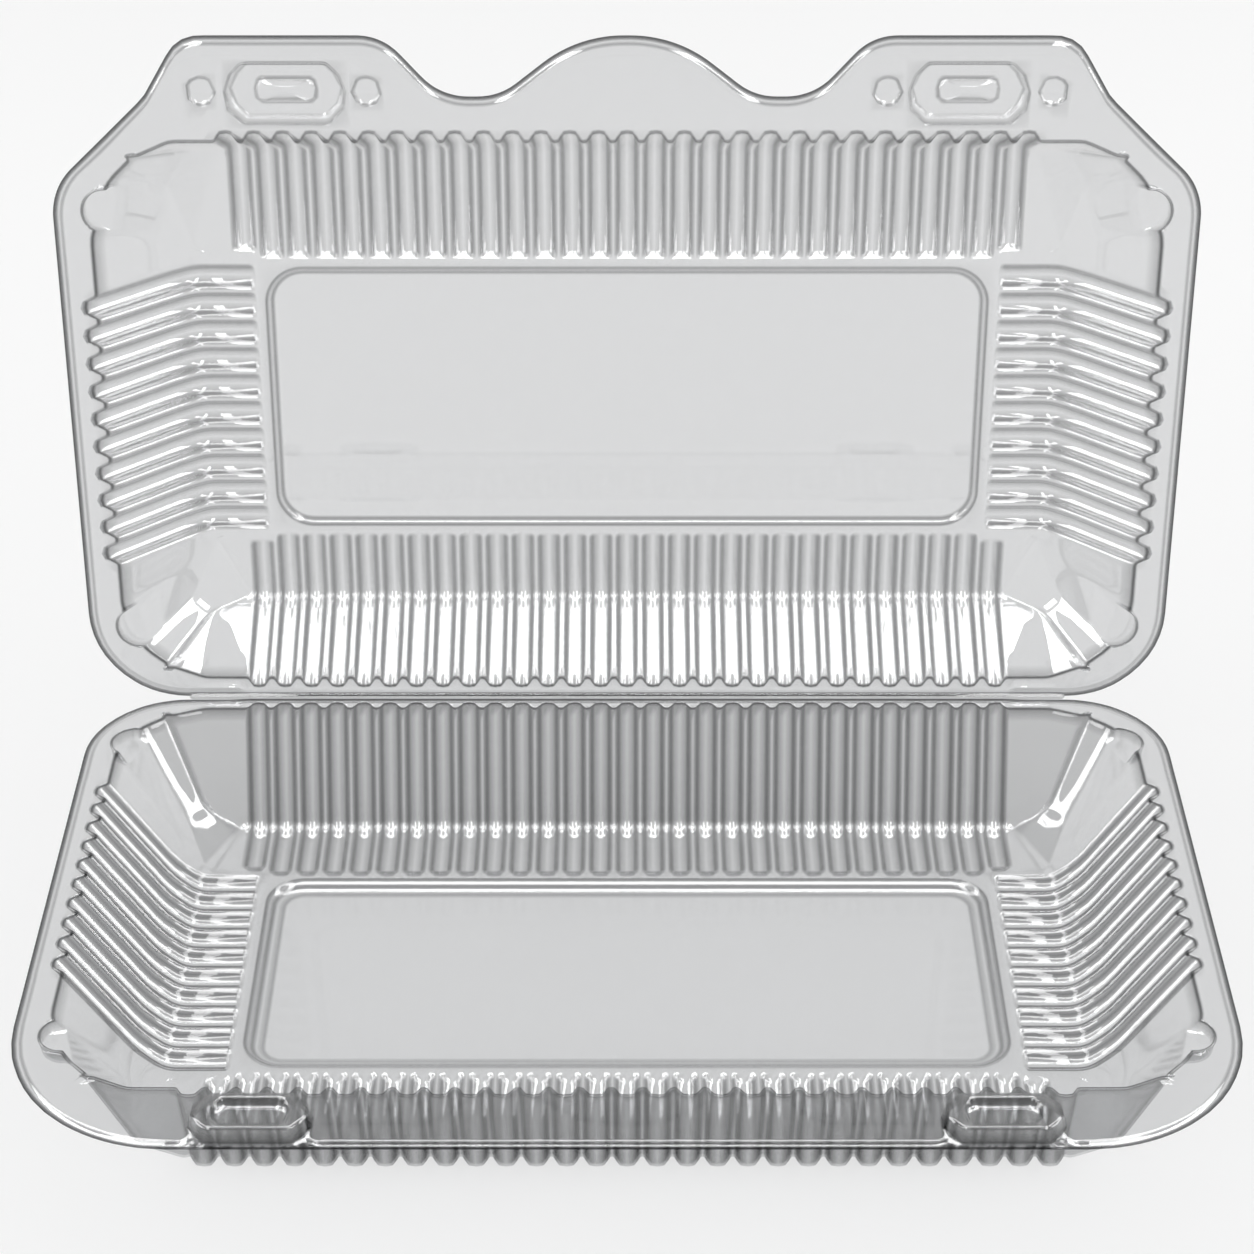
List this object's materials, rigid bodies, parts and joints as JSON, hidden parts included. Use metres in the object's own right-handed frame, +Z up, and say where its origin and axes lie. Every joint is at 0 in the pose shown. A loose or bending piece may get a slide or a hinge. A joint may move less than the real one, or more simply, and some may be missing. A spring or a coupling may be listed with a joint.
{
  "type": "plastic clamshell pack",
  "caption": "Clear plastic food clamshell with a fluted base tray and a fluted lid on a living hinge, standing open.",
  "frame": {"origin": "on the table plane under the middle of the base tray's panel", "axes": "+X along the pack, -Y towards the front edge of the base, +Z up"},
  "size_m": [0.235, 0.1794, 0.1745],
  "materials": {
    "clear_sheet": "clear, glossy"
  },
  "bodies": {
    "base": {"base_tray": "clear_sheet"},
    "lid": {"lid": "clear_sheet"}
  },
  "joints": [
    {"name": "lid_hinge", "type": "hinge", "parent": "base", "child": "lid", "pos_m": [0, 0.0628, 0.02765], "axis": [1, 0, 0], "range_deg": [-82, 97.4]}
  ]
}
